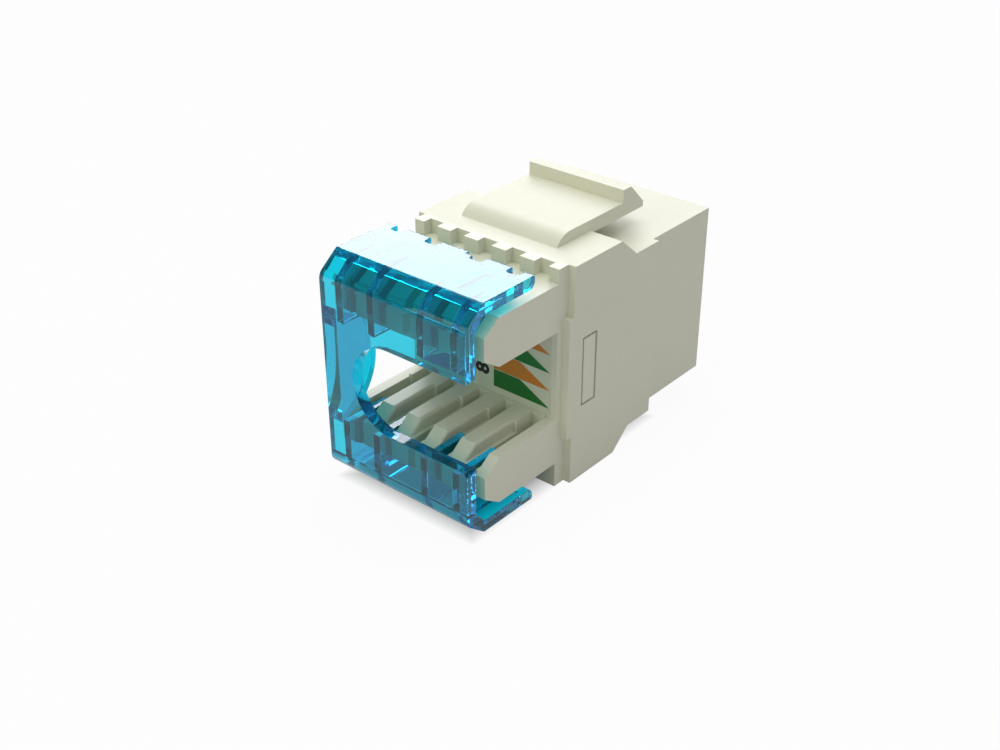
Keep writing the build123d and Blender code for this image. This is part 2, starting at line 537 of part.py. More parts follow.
def make_parts():
    """Every piece of the jack by its node name."""
    parts = {
        "housing": make_housing(),
        "idc_block": make_idc_block(),
        "wire_cap": make_wire_cap(),
        "wiring_label": make_wiring_label(),
        "circuit_board": make_circuit_board(),
        "contact_carrier": make_contact_carrier(),
    }
    for index in range(CONTACT_COUNT):
        parts[f"plug_contact_{index + 1}"] = make_plug_contact(index)
    number = 1
    for side in (1, -1):
        for x in WIRED_SLOT_XS:
            parts[f"idc_contact_{number}"] = make_idc_contact(x, ROW_CENTRE_Z + side * BLADE_OUTSET)
            number += 1
    return parts


os.makedirs("parts", exist_ok=True)
for node, shape in make_parts().items():
    export_step(shape, f"parts/{node}.step")
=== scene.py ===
"""Looks of a keystone jack with a clear blue wire cap: finishes, printed label, studio, camera."""

import logging
import math
from dataclasses import dataclass
from enum import Enum
from typing import Iterable, Optional, Sequence, Union

import bmesh
import bpy
from mathutils import Euler, Matrix, Vector


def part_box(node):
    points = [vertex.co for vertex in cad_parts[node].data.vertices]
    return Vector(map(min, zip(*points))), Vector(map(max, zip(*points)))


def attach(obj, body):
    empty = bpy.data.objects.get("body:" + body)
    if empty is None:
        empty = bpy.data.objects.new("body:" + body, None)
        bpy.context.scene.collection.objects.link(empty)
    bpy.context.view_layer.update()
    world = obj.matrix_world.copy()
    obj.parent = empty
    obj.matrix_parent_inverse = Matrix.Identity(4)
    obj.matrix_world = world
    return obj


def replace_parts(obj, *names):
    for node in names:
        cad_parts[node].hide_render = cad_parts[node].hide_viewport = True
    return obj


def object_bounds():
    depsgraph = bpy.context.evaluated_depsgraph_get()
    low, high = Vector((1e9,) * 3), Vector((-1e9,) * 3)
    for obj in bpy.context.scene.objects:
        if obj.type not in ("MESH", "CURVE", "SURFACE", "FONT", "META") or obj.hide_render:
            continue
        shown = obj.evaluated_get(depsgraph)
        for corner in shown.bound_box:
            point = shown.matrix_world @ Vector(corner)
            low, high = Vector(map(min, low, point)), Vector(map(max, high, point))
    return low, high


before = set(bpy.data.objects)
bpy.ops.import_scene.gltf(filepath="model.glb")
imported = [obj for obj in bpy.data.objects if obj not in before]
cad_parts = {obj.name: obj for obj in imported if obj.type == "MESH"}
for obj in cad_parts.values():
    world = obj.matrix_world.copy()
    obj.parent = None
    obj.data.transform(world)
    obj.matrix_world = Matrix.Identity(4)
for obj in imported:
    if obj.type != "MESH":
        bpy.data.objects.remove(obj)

LOG = logging.getLogger("keystone_jack")
LOADED_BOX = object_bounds()
JACK_BODY = "jack"
CAP_BODY = "cap"
MM = 0.001
JOINED_WITHIN_MM = 0.0005
FLAT_WITHIN_DEGREES = 0.5
QUARTER_TURN = math.radians(90.0)
INK_ROUGHNESS = 0.34
INK_FIBRE_MM = 0.1
Pair = tuple[float, float]
Triple = tuple[float, float, float]
Colour = tuple[float, float, float]
Number = Union[float, "Value"]
WHITE = (1.0, 1.0, 1.0)
BLACK = (0.0, 0.0, 0.0)


class Value:
    """A node's output, on which Python arithmetic adds Math nodes."""

    def __init__(self, sheet: "NodeSheet", socket: Optional[bpy.types.NodeSocket]) -> None:
        """Wraps one output of a node sheet, or none where the node is the last one."""
        self.sheet = sheet
        self.socket = socket

    def _math(self, operation: str, first: Number, second: Number) -> "Value":
        """Returns the result of a new Math node with this operation and these two numbers."""
        return self.sheet.node("ShaderNodeMath", {"operation": operation}, {0: first, 1: second})

    def __add__(self, other: Number) -> "Value":
        """Returns self + other."""
        return self._math("ADD", self, other)

    def __radd__(self, other: Number) -> "Value":
        """Returns other + self."""
        return self._math("ADD", other, self)

    def __sub__(self, other: Number) -> "Value":
        """Returns self - other."""
        return self._math("SUBTRACT", self, other)

    def __rsub__(self, other: Number) -> "Value":
        """Returns other - self."""
        return self._math("SUBTRACT", other, self)

    def __mul__(self, other: Number) -> "Value":
        """Returns self * other."""
        return self._math("MULTIPLY", self, other)

    def __rmul__(self, other: Number) -> "Value":
        """Returns other * self."""
        return self._math("MULTIPLY", other, self)

    def at_most(self, other: Number) -> "Value":
        """Returns the smaller of self and other."""
        return self._math("MINIMUM", self, other)

    def at_least(self, other: Number) -> "Value":
        """Returns the larger of self and other."""
        return self._math("MAXIMUM", self, other)

    def clamped(self) -> "Value":
        """Returns self, kept from 0 to 1."""
        return self.at_least(0.0).at_most(1.0)


class Detail(Enum):
    """How many finer layers a noise has."""

    SMOOTH = 1.0
    SOFT = 2.0
    FINE = 3.0


class NodeSheet:
    """The node tree of one material or world, with one way to add a node."""

    NOISE_ROUGHNESS = 0.55
    MIX_COLOURS = (6, 7)
    MIX_RESULT = 2
    WAVE_HEIGHT = 1

    def __init__(self, tree: bpy.types.NodeTree) -> None:
        """Takes a node tree and empties it."""
        self.tree = tree
        self.tree.nodes.clear()

    def node(self, kind: str, settings: dict, inputs: dict, output: Union[int, str] = 0) -> Value:
        """Adds a node, sets it up and feeds it.

        Args:
            kind: the node's type.
            settings: its properties by name, such as a Math node's operation, which are set first.
            inputs: numbers, colours or values by input name or number.
            output: name or number of the output wanted.

        Returns:
            The wanted output, or an empty value for a node without outputs.
        """
        made = self.tree.nodes.new(kind)
        for name, setting in settings.items():
            setattr(made, name, setting)
        for key, given in inputs.items():
            if isinstance(given, Value):
                self.tree.links.new(given.socket, made.inputs[key])
            else:
                made.inputs[key].default_value = given
        return Value(self, made.outputs[output] if len(made.outputs) else None)

    def place_mm(self) -> Value:
        """Returns the point on the piece in millimetres."""
        place = self.node("ShaderNodeTexCoord", {}, {}, "Object")
        return self.node("ShaderNodeVectorMath", {"operation": "SCALE"}, {0: place, "Scale": 1 / MM})

    def noise(self, place: Value, size_mm: float, detail: Detail) -> Value:
        """Returns soft noise from 0 to 1, with patches of the size given."""
        layers = {"Detail": detail.value, "Roughness": self.NOISE_ROUGHNESS}
        return self.node("ShaderNodeTexNoise", {}, {"Vector": place, "Scale": 1 / size_mm, **layers})

    def squeezed(self, place: Value, scale: Triple) -> Value:
        """Returns a point multiplied by a factor for each axis."""
        return self.node("ShaderNodeMapping", {}, {"Vector": place, "Scale": scale})

    def blend(self, share: Number, first: Colour, second: Colour) -> Value:
        """Mixes two colours.

        Args:
            share: share of the second colour.
            first: colour at 0.
            second: colour at 1.

        Returns:
            The mixed colour.
        """
        inputs: dict = {0: share}
        for key, colour in zip(self.MIX_COLOURS, (first, second)):
            inputs[key] = (*colour, 1.0)
        return self.node("ShaderNodeMix", {"data_type": "RGBA"}, inputs, self.MIX_RESULT)

    def bump(self, height: Value, depth_mm: float) -> Value:
        """Returns the normal bent by a height from 0 to 1, whose range is really this deep."""
        inputs = {"Height": height, "Distance": depth_mm * MM, "Strength": 1.0}
        return self.node("ShaderNodeBump", {}, inputs, "Normal")


def new_material(name: str) -> tuple[bpy.types.Material, NodeSheet]:
    """Makes an empty node material.

    Args:
        name: the material's name.

    Returns:
        The material and its node sheet.
    """
    material = bpy.data.materials.new(name)
    material.use_nodes = True
    return material, NodeSheet(material.node_tree)


@dataclass(frozen=True)
class MouldedPlastic:
    """Opaque moulded plastic with the fine grain of its mould."""

    name: str
    colour: Colour
    drift: Colour
    roughness: float = 0.52
    index: float = 1.5
    flow_mm: float = 5.0
    fleck_mm: float = 0.6
    grain_mm: float = 0.11
    grain_depth_mm: float = 0.004
    drift_by_flow: float = 1.1
    drift_by_fleck: float = 0.35
    drift_start: float = 0.25
    height_by_grain: float = 0.8
    height_by_fleck: float = 0.5
    polish: float = 0.05
    rough_by_fleck: float = 0.08
    rough_by_grain: float = 0.06

    def material(self) -> bpy.types.Material:
        """Returns the finished material."""
        material, sheet = new_material(self.name)
        place = sheet.place_mm()
        flow = sheet.noise(place, self.flow_mm, Detail.FINE)
        fleck = sheet.noise(place, self.fleck_mm, Detail.SOFT)
        grain = sheet.noise(place, self.grain_mm, Detail.FINE)
        drifted = flow * self.drift_by_flow + fleck * self.drift_by_fleck - self.drift_start
        height = grain * self.height_by_grain + fleck * self.height_by_fleck
        smoothest = self.roughness - self.polish
        shader = sheet.node("ShaderNodeBsdfPrincipled", {}, {
            "Base Color": sheet.blend(drifted.clamped(), self.colour, self.drift),
            "Roughness": smoothest + fleck * self.rough_by_fleck + grain * self.rough_by_grain,
            "IOR": self.index,
            "Normal": sheet.bump(height, self.grain_depth_mm),
        })
        sheet.node("ShaderNodeOutputMaterial", {}, {"Surface": shader})
        return material


@dataclass(frozen=True)
class ClearPlastic:
    """Tinted clear plastic, polished, that bends what is seen through it."""

    name: str
    tint: Colour
    drift: Colour
    depth_tint: Colour
    depth_density: float
    lamp_tint: Colour
    roughness: float = 0.035
    index: float = 1.5
    clearness: float = 0.95
    ripple_mm: float = 3.2
    ripple_depth_mm: float = 0.012
    haze_mm: float = 0.35
    polish: float = 0.015
    rough_by_haze: float = 0.03

    def material(self) -> bpy.types.Material:
        """Returns the finished material."""
        material, sheet = new_material(self.name)
        place = sheet.place_mm()
        ripple = sheet.noise(place, self.ripple_mm, Detail.SMOOTH)
        haze = sheet.noise(place, self.haze_mm, Detail.FINE)
        shader = sheet.node("ShaderNodeBsdfPrincipled", {}, {
            "Base Color": sheet.blend(ripple, self.tint, self.drift),
            "Roughness": self.roughness - self.polish + haze * self.rough_by_haze,
            "IOR": self.index,
            "Transmission Weight": self.clearness,
            "Normal": sheet.bump(ripple, self.ripple_depth_mm),
        })
        passing = sheet.node("ShaderNodeBsdfTransparent", {}, {"Color": (*self.lamp_tint, 1.0)})
        shadow = sheet.node("ShaderNodeLightPath", {}, {}, "Is Shadow Ray")
        spread = sheet.node("ShaderNodeLightPath", {}, {}, "Is Diffuse Ray")
        share = shadow.at_least(spread)
        surface = sheet.node("ShaderNodeMixShader", {}, {0: share, 1: shader, 2: passing})
        inside = sheet.node("ShaderNodeVolumeAbsorption", {}, {
            "Color": (*self.depth_tint, 1.0),
            "Density": self.depth_density,
        })
        sheet.node("ShaderNodeOutputMaterial", {}, {"Surface": surface, "Volume": inside})
        return material


@dataclass(frozen=True)
class Print:
    """Ink or coated paper of the wiring label."""

    name: str
    colour: Colour
    drift: Colour
    roughness: float = 0.5
    fibre_mm: float = 0.16
    fibre_squeeze: Triple = (1.0, 1.0, 2.2)
    fibre_depth_mm: float = 0.003
    patch_mm: float = 1.4
    drift_by_fibre: float = 0.5
    drift_by_patch: float = 0.5
    rough_by_fibre: float = 0.12

    def material(self) -> bpy.types.Material:
        """Returns the finished material."""
        material, sheet = new_material(self.name)
        place = sheet.place_mm()
        fibre = sheet.noise(sheet.squeezed(place, self.fibre_squeeze), self.fibre_mm, Detail.FINE)
        patch = sheet.noise(place, self.patch_mm, Detail.SOFT)
        drifted = fibre * self.drift_by_fibre + patch * self.drift_by_patch
        shader = sheet.node("ShaderNodeBsdfPrincipled", {}, {
            "Base Color": sheet.blend(drifted, self.colour, self.drift),
            "Roughness": self.roughness + fibre * self.rough_by_fibre,
            "Normal": sheet.bump(fibre, self.fibre_depth_mm),
        })
        sheet.node("ShaderNodeOutputMaterial", {}, {"Surface": shader})
        return material


@dataclass(frozen=True)
class SolderMask:
    """Green lacquer over the woven base of the circuit board."""

    name: str
    colour: Colour
    drift: Colour
    roughness: float = 0.3
    coat: float = 0.3
    weave_mm: float = 0.5
    weave_depth_mm: float = 0.006
    bands_per_weave: float = 0.3
    waviness: float = 0.4
    rough_by_weave: float = 0.1

    def _bands(self, sheet: NodeSheet, place: Value, axis: str) -> Value:
        """Makes the threads that lie side by side along one axis.

        Args:
            sheet: the material's node sheet.
            place: point in millimetres.
            axis: name of the axis, X or Z.

        Returns:
            Height of the threads, from 0 to 1.
        """
        inputs = {
            "Vector": place,
            "Scale": self.bands_per_weave / self.weave_mm,
            "Distortion": self.waviness,
        }
        return sheet.node("ShaderNodeTexWave", {"bands_direction": axis}, inputs, sheet.WAVE_HEIGHT)

    def material(self) -> bpy.types.Material:
        """Returns the finished material."""
        material, sheet = new_material(self.name)
        place = sheet.place_mm()
        weave = self._bands(sheet, place, "X") * self._bands(sheet, place, "Z")
        shader = sheet.node("ShaderNodeBsdfPrincipled", {}, {
            "Base Color": sheet.blend(weave, self.colour, self.drift),
            "Roughness": self.roughness + weave * self.rough_by_weave,
            "Coat Weight": self.coat,
            "Normal": sheet.bump(weave, self.weave_depth_mm),
        })
        sheet.node("ShaderNodeOutputMaterial", {}, {"Surface": shader})
        return material


@dataclass(frozen=True)
class PlatedMetal:
    """Plated spring metal with the fine drawing marks of wire or strip."""

    name: str
    colour: Colour
    drift: Colour
    roughness: float
    drawn_mm: float = 0.6
    drawn_squeeze: Triple = (9.0, 0.6, 9.0)
    drawn_depth_mm: float = 0.002
    dull_mm: float = 1.1
    polish: float = 0.05
    rough_by_drawn: float = 0.1
    rough_by_dull: float = 0.08

    def material(self) -> bpy.types.Material:
        """Returns the finished material."""
        material, sheet = new_material(self.name)
        place = sheet.place_mm()
        drawn = sheet.noise(sheet.squeezed(place, self.drawn_squeeze), self.drawn_mm, Detail.FINE)
        dull = sheet.noise(place, self.dull_mm, Detail.FINE)
        smoothest = self.roughness - self.polish
        shader = sheet.node("ShaderNodeBsdfPrincipled", {}, {
            "Base Color": sheet.blend(dull, self.colour, self.drift),
            "Metallic": 1.0,
            "Roughness": smoothest + drawn * self.rough_by_drawn + dull * self.rough_by_dull,
            "Normal": sheet.bump(drawn, self.drawn_depth_mm),
        })
        sheet.node("ShaderNodeOutputMaterial", {}, {"Surface": shader})
        return material


class Ink(Enum):
    """Inks of the wiring label, with their colour and the colour they drift to."""

    GREEN = ((0.006, 0.15, 0.016), (0.012, 0.19, 0.028))
    ORANGE = ((0.62, 0.20, 0.02), (0.70, 0.25, 0.035))
    BLUE = ((0.012, 0.07, 0.33), (0.02, 0.10, 0.40))
    BROWN = ((0.10, 0.035, 0.012), (0.14, 0.05, 0.02))
    BLACK = ((0.012, 0.012, 0.013), (0.02, 0.02, 0.021))

    def material(self) -> bpy.types.Material:
        """Returns the ink's material, a little glossier and finer than paper."""
        colour, drift = self.value
        name = f"ink_{self.name.lower()}"
        return Print(name, colour, drift, INK_ROUGHNESS, INK_FIBRE_MM).material()


class Side(Enum):
    """Half of the label, by the sign of its X."""

    LEFT = -1.0
    RIGHT = 1.0


def coat(mesh: bpy.types.Mesh, material: bpy.types.Material) -> None:
    """Makes a material the only one of a mesh."""
    mesh.materials.clear()
    mesh.materials.append(material)


def dress(names: Iterable[str], material: bpy.types.Material) -> None:
    """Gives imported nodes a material.

    Args:
        names: names of the nodes.
        material: the material.
    """
    for name in names:
        coat(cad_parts[name].data, material)
        LOG.info("dressed %s in %s", name, material.name)


def add_object(name: str, data: bpy.types.ID) -> bpy.types.Object:
    """Adds an object to the scene.

    Args:
        name: the object's name.
        data: its mesh, text, lamp or camera.

    Returns:
        The object.
    """
    thing = bpy.data.objects.new(name, data)
    bpy.context.scene.collection.objects.link(thing)
    return thing


def add_piece(name: str, mesh: bpy.types.Mesh, body: str) -> bpy.types.Object:
    """Adds a mesh as a piece of the jack.

    Args:
        name: the piece's name.
        mesh: its mesh, in place.
        body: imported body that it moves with.

    Returns:
        The piece.
    """
    mesh.name = name
    piece = add_object(name, mesh)
    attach(piece, body)
    LOG.info("made %s: %d faces on %s", name, len(mesh.polygons), body)
    return piece


def finished_mesh(holder: bpy.types.Object) -> bpy.types.Mesh:
    """Turns an object with its modifiers into a plain mesh, and removes the object.

    Args:
        holder: the object.

    Returns:
        The mesh.
    """
    evaluated = holder.evaluated_get(bpy.context.evaluated_depsgraph_get())
    mesh = bpy.data.meshes.new_from_object(evaluated)
    bpy.data.objects.remove(holder)
    return mesh


def plate_mesh(name: str, outline: Sequence[Triple], shift: Triple) -> bpy.types.Mesh:
    """Makes a closed plate between a flat outline and its shifted copy.

    Args:
        name: the mesh's name.
        outline: corners of one face, in metres.
        shift: way from that face to the opposite one, in metres.

    Returns:
        The plate's mesh.
    """
    shape = bmesh.new()
    face = shape.faces.new([shape.verts.new(corner) for corner in outline])
    grown = bmesh.ops.extrude_face_region(shape, geom=[face])["geom"]
    moved = [item for item in grown if isinstance(item, bmesh.types.BMVert)]
    bmesh.ops.translate(shape, verts=moved, vec=shift)
    bmesh.ops.recalc_face_normals(shape, faces=shape.faces)
    mesh = bpy.data.meshes.new(name)
    shape.to_mesh(mesh)
    shape.free()
    return mesh


def merged_copy(node: str) -> bpy.types.Mesh:
    """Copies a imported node's mesh with its corners joined and its flat faces whole.

    Args:
        node: name of the node.

    Returns:
        The new mesh.
    """
    shape = bmesh.new()
    shape.from_mesh(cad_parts[node].data)
    bmesh.ops.remove_doubles(shape, verts=shape.verts, dist=JOINED_WITHIN_MM * MM)
    flat = math.radians(FLAT_WITHIN_DEGREES)
    bmesh.ops.dissolve_limit(shape, angle_limit=flat, verts=shape.verts, edges=shape.edges)
    mesh = bpy.data.meshes.new(f"{node}_merged")
    shape.to_mesh(mesh)
    shape.free()
    return mesh


@dataclass
class PlasticParts:
    """The opaque moulded parts: housing, wire block and contact carrier."""

    housing: MouldedPlastic = MouldedPlastic(
        "housing_ivory",
        colour=(0.79, 0.795, 0.665),
        drift=(0.76, 0.765, 0.63),
    )
    block: MouldedPlastic = MouldedPlastic(
        "block_ivory",
        colour=(0.785, 0.79, 0.66),
        drift=(0.75, 0.755, 0.62),
        roughness=0.42,
    )
    carrier: MouldedPlastic = MouldedPlastic(
        "carrier_ivory",
        colour=(0.74, 0.73, 0.62),
        drift=(0.70, 0.69, 0.57),
        roughness=0.5,
    )

    def build(self) -> None:
        """Dresses the three parts."""
        dress(["housing"], self.housing.material())
        dress(["idc_block"], self.block.material())
        dress(["contact_carrier"], self.carrier.material())


@dataclass
class WireCap:
    """The clear blue cap that presses the wires into the block.

    Lengths are in millimetres, the sharp angle in degrees, and a point of the wall is its Y and Z.
    """

    finish: ClearPlastic = ClearPlastic(
        "cap_clear_blue",
        tint=(0.006, 0.68, 0.85),
        drift=(0.005, 0.65, 0.82),
        depth_tint=(0.03, 0.55, 0.83),
        depth_density=150.0,
        lamp_tint=(0.05, 0.62, 0.66),
    )
    wall_x: Pair = (-6.64, -5.70)
    wall_centre: Pair = (-14.8, 9.54)
    wall_radius: float = 4.83
    wall_root_y: float = -13.45
    wall_top: tuple[Pair, ...] = (
        (-9.97, 11.6), (-10.15, 12.15), (-10.6, 12.55), (-12.35, 13.7),
    )
    wall_top_root_z: float = 14.4
    wall_steps: int = 32
    edge_round: float = 0.07
    edge_segments: int = 2
    sharp_angle: float = 40.0

    def build(self) -> None:
        """Adds the side wall to a copy of the cap, rounds its edges and dresses it."""
        wall = add_object("cap_wall", self._wall())
        cap = add_object("cap_copy", merged_copy("wire_cap"))
        join = cap.modifiers.new("join", "BOOLEAN")
        join.operation = "UNION"
        join.solver = "EXACT"
        join.object = wall
        rounding = cap.modifiers.new("rounding", "BEVEL")
        rounding.width = self.edge_round * MM
        rounding.segments = self.edge_segments
        rounding.limit_method = "ANGLE"
        rounding.angle_limit = math.radians(self.sharp_angle)
        mesh = finished_mesh(cap)
        bpy.data.objects.remove(wall)
        coat(mesh, self.finish.material())
        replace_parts(add_piece("clear_cap", mesh, CAP_BODY), "wire_cap")

    def _wall(self) -> bpy.types.Mesh:
        """Makes the side wall behind the plate: an arc below, listed corners above.

        Returns:
            The wall's closed mesh, rooted a little inside the plate.
        """
        centre_y, centre_z = self.wall_centre
        radius = self.wall_radius
        reach = math.acos((self.wall_root_y - centre_y) / radius)
        angles = [reach * (step / self.wall_steps - 1) for step in range(self.wall_steps + 1)]
        arc = [
            (centre_y + radius * math.cos(angle), centre_z + radius * math.sin(angle))
            for angle in angles
        ]
        outline = [*arc, *self.wall_top, (self.wall_root_y, self.wall_top_root_z)]
        low, high = self.wall_x
        corners = [(low * MM, y * MM, z * MM) for y, z in outline]
        return plate_mesh("cap_wall", corners, ((high - low) * MM, 0.0, 0.0))


@dataclass
class Contacts:
    """Circuit board, plug springs and wire blades."""

    mask: SolderMask = SolderMask(
        "board_green",
        colour=(0.018, 0.16, 0.06),
        drift=(0.03, 0.22, 0.085),
    )
    gold: PlatedMetal = PlatedMetal(
        "contact_gold",
        colour=(0.94, 0.68, 0.26),
        drift=(0.88, 0.60, 0.20),
        roughness=0.2,
    )
    tin: PlatedMetal = PlatedMetal(
        "contact_tin",
        colour=(0.74, 0.72, 0.67),
        drift=(0.64, 0.62, 0.58),
        roughness=0.32,
    )
    count: int = 8

    def build(self) -> None:
        """Dresses the board and both rows of contacts."""
        numbers = range(1, self.count + 1)
        dress(["circuit_board"], self.mask.material())
        dress([f"plug_contact_{number}" for number in numbers], self.gold.material())
        dress([f"idc_contact_{number}" for number in numbers], self.tin.material())


class FlagRepeat:
    """Geometry nodes that repeat a flag along a line."""

    def __init__(self, name: str, material: bpy.types.Material) -> None:
        """Builds the tree.

        Args:
            name: the tree's name.
            material: material of every flag.
        """
        self.tree = bpy.data.node_groups.new(name, "GeometryNodeTree")
        face = self.tree.interface
        face.new_socket("Geometry", in_out="INPUT", socket_type="NodeSocketGeometry")
        self.inputs = {
            "Count": face.new_socket("Count", in_out="INPUT", socket_type="NodeSocketInt"),
            "Start": face.new_socket("Start", in_out="INPUT", socket_type="NodeSocketVector"),
            "Step": face.new_socket("Step", in_out="INPUT", socket_type="NodeSocketVector"),
        }
        face.new_socket("Geometry", in_out="OUTPUT", socket_type="NodeSocketGeometry")
        nodes, links = self.tree.nodes, self.tree.links
        given = nodes.new("NodeGroupInput")
        line = nodes.new("GeometryNodeMeshLine")
        line.mode = "OFFSET"
        links.new(given.outputs["Count"], line.inputs["Count"])
        links.new(given.outputs["Start"], line.inputs["Start Location"])
        links.new(given.outputs["Step"], line.inputs["Offset"])
        spread = nodes.new("GeometryNodeInstanceOnPoints")
        links.new(line.outputs["Mesh"], spread.inputs["Points"])
        links.new(given.outputs["Geometry"], spread.inputs["Instance"])
        real = nodes.new("GeometryNodeRealizeInstances")
        links.new(spread.outputs["Instances"], real.inputs["Geometry"])
        finish = nodes.new("GeometryNodeSetMaterial")
        finish.inputs["Material"].default_value = material
        links.new(real.outputs["Geometry"], finish.inputs["Geometry"])
        links.new(finish.outputs["Geometry"], nodes.new("NodeGroupOutput").inputs["Geometry"])

    def attach(self, holder: bpy.types.Object, values: dict) -> None:
        """Puts the tree on an object and sets its inputs.

        Args:
            holder: object with the geometry to repeat.
            values: input values by input name.
        """
        modifier = holder.modifiers.new("repeat", "NODES")
        modifier.node_group = self.tree
        for name, value in values.items():
            modifier[self.inputs[name].identifier] = value


@dataclass
class WiringLabel:
    """The printed label between the two rows of fins, with its lengths in millimetres."""

    paper: Print = Print("label_paper", colour=(0.72, 0.73, 0.60), drift=(0.67, 0.68, 0.55))
    flag_start: float = 0.93
    flag_shoulder: float = 3.4
    flag_point: float = 6.09
    flag_height: float = 1.4
    flag_bottom: float = 6.54
    flag_pitch: float = 1.46
    flags_of_a_colour: int = 2
    colours_on_a_side: int = 2
    ink_depth: float = 0.02
    numeral: str = "8"
    numeral_centre: Pair = (-0.1, 7.65)
    numeral_size: float = 1.7
    numeral_weight: float = 0.06
    numeral_steps: int = 8

    def build(self) -> None:
        """Dresses the paper and prints the flags and the numeral."""
        dress(["wiring_label"], self.paper.material())
        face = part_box("wiring_label")[0].y
        rows = (
            (Ink.GREEN, Side.RIGHT, 0),
            (Ink.ORANGE, Side.RIGHT, 1),
            (Ink.BLUE, Side.LEFT, 0),
            (Ink.BROWN, Side.LEFT, 1),
        )
        for ink, side, row in rows:
            self._print_flags(ink, side, row, face)
        self._print_numeral(face)

    def _flag_mesh(self, side: Side, face: float) -> bpy.types.Mesh:
        """Makes one flag at the lowest place.

        Args:
            side: half of the label.
            face: Y of the label's face, in metres.

        Returns:
            A thin closed mesh.
        """
        outline = (
            (self.flag_start, 0.0),
            (self.flag_point, 0.0),
            (self.flag_shoulder, self.flag_height),
            (self.flag_start, self.flag_height),
        )
        corners = [(side.value * x * MM, face, (self.flag_bottom + z) * MM) for x, z in outline]
        return plate_mesh("flag", corners, (0.0, -self.ink_depth * MM, 0.0))

    def _print_flags(self, ink: Ink, side: Side, row: int, face: float) -> None:
        """Prints the flags of one colour.

        Args:
            ink: their colour.
            side: half of the label.
            row: place of the lowest one, counted from the bottom.
            face: Y of the label's face, in metres.
        """
        name = f"label_flags_{ink.name.lower()}"
        seed = add_object(f"{name}_seed", self._flag_mesh(side, face))
        repeat = FlagRepeat(f"{name}_repeat", ink.material())
        repeat.attach(seed, {
            "Count": self.flags_of_a_colour,
            "Start": Vector((0.0, 0.0, row * self.flag_pitch * MM)),
            "Step": Vector((0.0, 0.0, self.colours_on_a_side * self.flag_pitch * MM)),
        })
        add_piece(name, finished_mesh(seed), JACK_BODY)

    def _print_numeral(self, face: float) -> None:
        """Prints the numeral, turned a quarter as the label's other marks are.

        Args:
            face: Y of the label's face, in metres.
        """
        text = bpy.data.curves.new("numeral", "FONT")
        text.body = self.numeral
        text.size = self.numeral_size * MM
        text.align_x = "CENTER"
        text.align_y = "CENTER"
        text.extrude = self.ink_depth / 2 * MM
        text.offset = self.numeral_weight * MM
        text.resolution_u = self.numeral_steps
        mesh = finished_mesh(add_object("numeral", text))
        x, z = self.numeral_centre
        upright = Matrix.Rotation(QUARTER_TURN, 4, "X") @ Matrix.Rotation(QUARTER_TURN, 4, "Z")
        in_place = Matrix.Translation((x * MM, face - self.ink_depth / 2 * MM, z * MM))
        mesh.transform(in_place @ upright)
        coat(mesh, Ink.BLACK.material())
        add_piece("label_numeral", mesh, JACK_BODY)


@dataclass(frozen=True)
class Softbox:
    """A square lamp that points at the jack: angles in degrees, lengths in metres."""

    name: str
    heading: float
    elevation: float
    distance: float
    size: float
    radiance: float
    colour: Colour = WHITE
    mirrored_only: bool = False

    def build(self, target: Vector) -> None:
        """Adds the lamp.

        Args:
            target: point that it faces.
        """
        lamp = bpy.data.lights.new(self.name, "AREA")
        lamp.shape = "SQUARE"
        lamp.size = self.size
        lamp.energy = self.radiance * math.pi * self.size ** 2
        lamp.color = self.colour
        turn, rise = math.radians(self.heading), math.radians(self.elevation)
        level = math.cos(rise)
        towards = Vector((math.sin(turn) * level, math.cos(turn) * level, math.sin(rise)))
        holder = add_object(self.name, lamp)
        holder.location = target + towards * self.distance
        holder.rotation_euler = towards.to_track_quat("Z", "Y").to_euler()
        holder.visible_diffuse = not self.mirrored_only
        LOG.info("lit by %s", self.name)


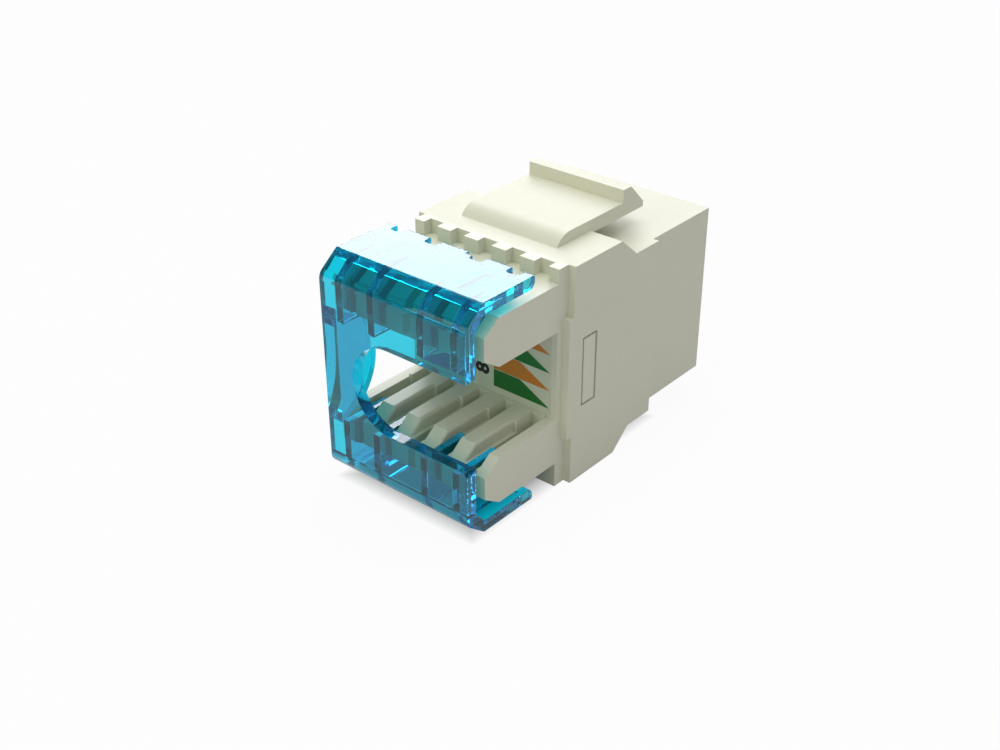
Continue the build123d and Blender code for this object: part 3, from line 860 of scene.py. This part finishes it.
@dataclass
class Studio:
    """Pale floor, soft light and white background.

    The floor's size is in metres; the painted shade's centre, half size and soft rim are in
    millimetres.
    """

    key: Softbox = Softbox(
        "key_softbox",
        heading=-40.0,
        elevation=83.0,
        distance=0.50,
        size=0.50,
        radiance=1.5,
    )
    front: Softbox = Softbox(
        "front_fill",
        heading=-165.0,
        elevation=30.0,
        distance=0.45,
        size=0.30,
        radiance=1.25,
        colour=(1.0, 0.97, 0.62),
    )
    mirror: Softbox = Softbox(
        "mirror_panel",
        heading=-40.0,
        elevation=36.0,
        distance=0.42,
        size=0.31,
        radiance=6.8,
        mirrored_only=True,
    )
    sky: float = 0.455
    sky_mirrored: float = 0.12
    floor_size: float = 6.0
    floor_drop_mm: float = 0.01
    floor_bounce: float = 0.6
    floor_seen: float = 0.86
    floor_glow: float = 0.94
    floor_mirrored: float = 0.58
    # Centre, half size, soft rim and darkest share of the shade painted into the floor's white under
    # the jack.
    shade_centre: Pair = (0.0, -2.6)
    shade_half: Pair = (4.6, 9.0)
    shade_soft: float = 2.2
    shade_left: float = 0.3
    bounces: int = 32

    def build(self) -> None:
        """Builds the floor, the world and the lamps."""
        low, high = LOADED_BOX
        target = (low + high) / 2
        self._let_light_through()
        for lamp in (self.key, self.front, self.mirror):
            lamp.build(target)
        self._build_world()
        self._build_floor()

    def _let_light_through(self) -> None:
        """Lets light that runs along inside the clear cap find its way out."""
        cycles = bpy.context.scene.cycles
        cycles.max_bounces = self.bounces
        cycles.glossy_bounces = self.bounces
        cycles.transmission_bounces = self.bounces

    def _painted_lit_share(self, sheet: NodeSheet) -> Value:
        """Paints a soft shade under the jack: tells how much of its white the floor keeps where the
        jack stands over it.

        Args:
            sheet: node sheet of the floor.

        Returns:
            1 in the open, and less under the jack.
        """
        place = sheet.place_mm()
        past = []
        for axis, centre, half in zip("XY", self.shade_centre, self.shade_half):
            along = sheet.node("ShaderNodeSeparateXYZ", {}, {0: place}, axis) - centre
            past.append(along.at_least(0.0 - along) - half)
        open_share = (past[0].at_least(past[1]) * (1 / self.shade_soft)).clamped()
        return open_share * (1.0 - self.shade_left) + self.shade_left

    @staticmethod
    def _seen(sheet: NodeSheet, share: float) -> Value:
        """Tells how much of its white a backdrop shows.

        Args:
            sheet: node sheet of the floor or the world.
            share: share of the white that a mirrored backdrop shows.

        Returns:
            1 where the camera sees it directly or through clear plastic, the share where it is
            mirrored, and 0 where it only lights the jack.
        """
        camera = sheet.node("ShaderNodeLightPath", {}, {}, "Is Camera Ray")
        mirrored = sheet.node("ShaderNodeLightPath", {}, {}, "Is Glossy Ray")
        through = sheet.node("ShaderNodeLightPath", {}, {}, "Is Transmission Ray")
        return camera.at_least(mirrored * share).at_least(through)

    def _build_world(self) -> None:
        """Makes the sky: even soft light, and white where it is seen."""
        world = bpy.data.worlds.new("studio_white")
        world.use_nodes = True
        bpy.context.scene.world = world
        sheet = NodeSheet(world.node_tree)
        mirrored = sheet.node("ShaderNodeLightPath", {}, {}, "Is Glossy Ray")
        lighting = self.sky - mirrored * (self.sky - self.sky_mirrored)
        strength = self._seen(sheet, 0.0) * (1.0 - self.sky) + lighting
        inputs = {"Color": (*WHITE, 1.0), "Strength": strength}
        shader = sheet.node("ShaderNodeBackground", {}, inputs)
        sheet.node("ShaderNodeOutputWorld", {}, {"Surface": shader})

    def _build_floor(self) -> None:
        """Makes the pale floor, which keeps a faint shadow from the lamps and a painted shade under
        the jack.
        """
        half = self.floor_size / 2
        corners = [(-half, -half, 0), (half, -half, 0), (half, half, 0), (-half, half, 0)]
        mesh = bpy.data.meshes.new("floor")
        mesh.from_pydata(corners, [], [range(len(corners))])
        floor = add_object("floor", mesh)
        floor.location.z = -self.floor_drop_mm * MM
        mesh.materials.append(self._floor_material())
        LOG.info("laid the floor")

    def _floor_material(self) -> bpy.types.Material:
        """Returns the floor's material: matt for the light, glowing white where it is seen, with a
        painted shade in that white under the jack.
        """
        material, sheet = new_material("floor_pale")
        seen = self._seen(sheet, self.floor_mirrored)
        grey, pale = (self.floor_bounce,) * 3, (self.floor_seen,) * 3
        matt = sheet.node("ShaderNodeBsdfDiffuse", {}, {"Color": sheet.blend(seen, grey, pale)})
        # Painted shade: the glowing white fades towards black under the jack.
        white_with_painted_shade = sheet.blend(self._painted_lit_share(sheet), BLACK, WHITE)
        glow = sheet.node("ShaderNodeEmission", {}, {"Color": white_with_painted_shade, "Strength": 1.0})
        share = seen * self.floor_glow
        surface = sheet.node("ShaderNodeMixShader", {}, {0: share, 1: matt, 2: glow})
        sheet.node("ShaderNodeOutputMaterial", {}, {"Surface": surface})
        return material


@dataclass(frozen=True)
class PhotoCamera:
    """The camera of the photograph: its place and lens in millimetres, angles in degrees."""

    place: Triple = (57.946, -71.662, 58.597)
    tilt: float = 59.831
    turn: float = 40.059
    lens: float = 50.0
    sensor: float = 36.0
    nearest: float = 1.0
    farthest: float = 20000.0

    def build(self) -> None:
        """Adds the camera and makes it the scene's."""
        data = bpy.data.cameras.new("photo_camera")
        data.lens = self.lens
        data.sensor_width = self.sensor
        data.sensor_fit = "HORIZONTAL"
        data.clip_start = self.nearest * MM
        data.clip_end = self.farthest * MM
        camera = add_object("photo_camera", data)
        camera.location = Vector(self.place) * MM
        camera.rotation_euler = Euler((math.radians(self.tilt), 0.0, math.radians(self.turn)))
        bpy.context.scene.camera = camera


def main() -> None:
    """Builds camera, studio and every piece of the jack."""
    logging.basicConfig(level=logging.INFO, format="%(name)s: %(message)s")
    bpy.context.scene.view_settings.view_transform = "Standard"
    PhotoCamera().build()
    Studio().build()
    for part in (PlasticParts(), WireCap(), Contacts(), WiringLabel()):
        part.build()


if __name__ == "__main__":
    main()
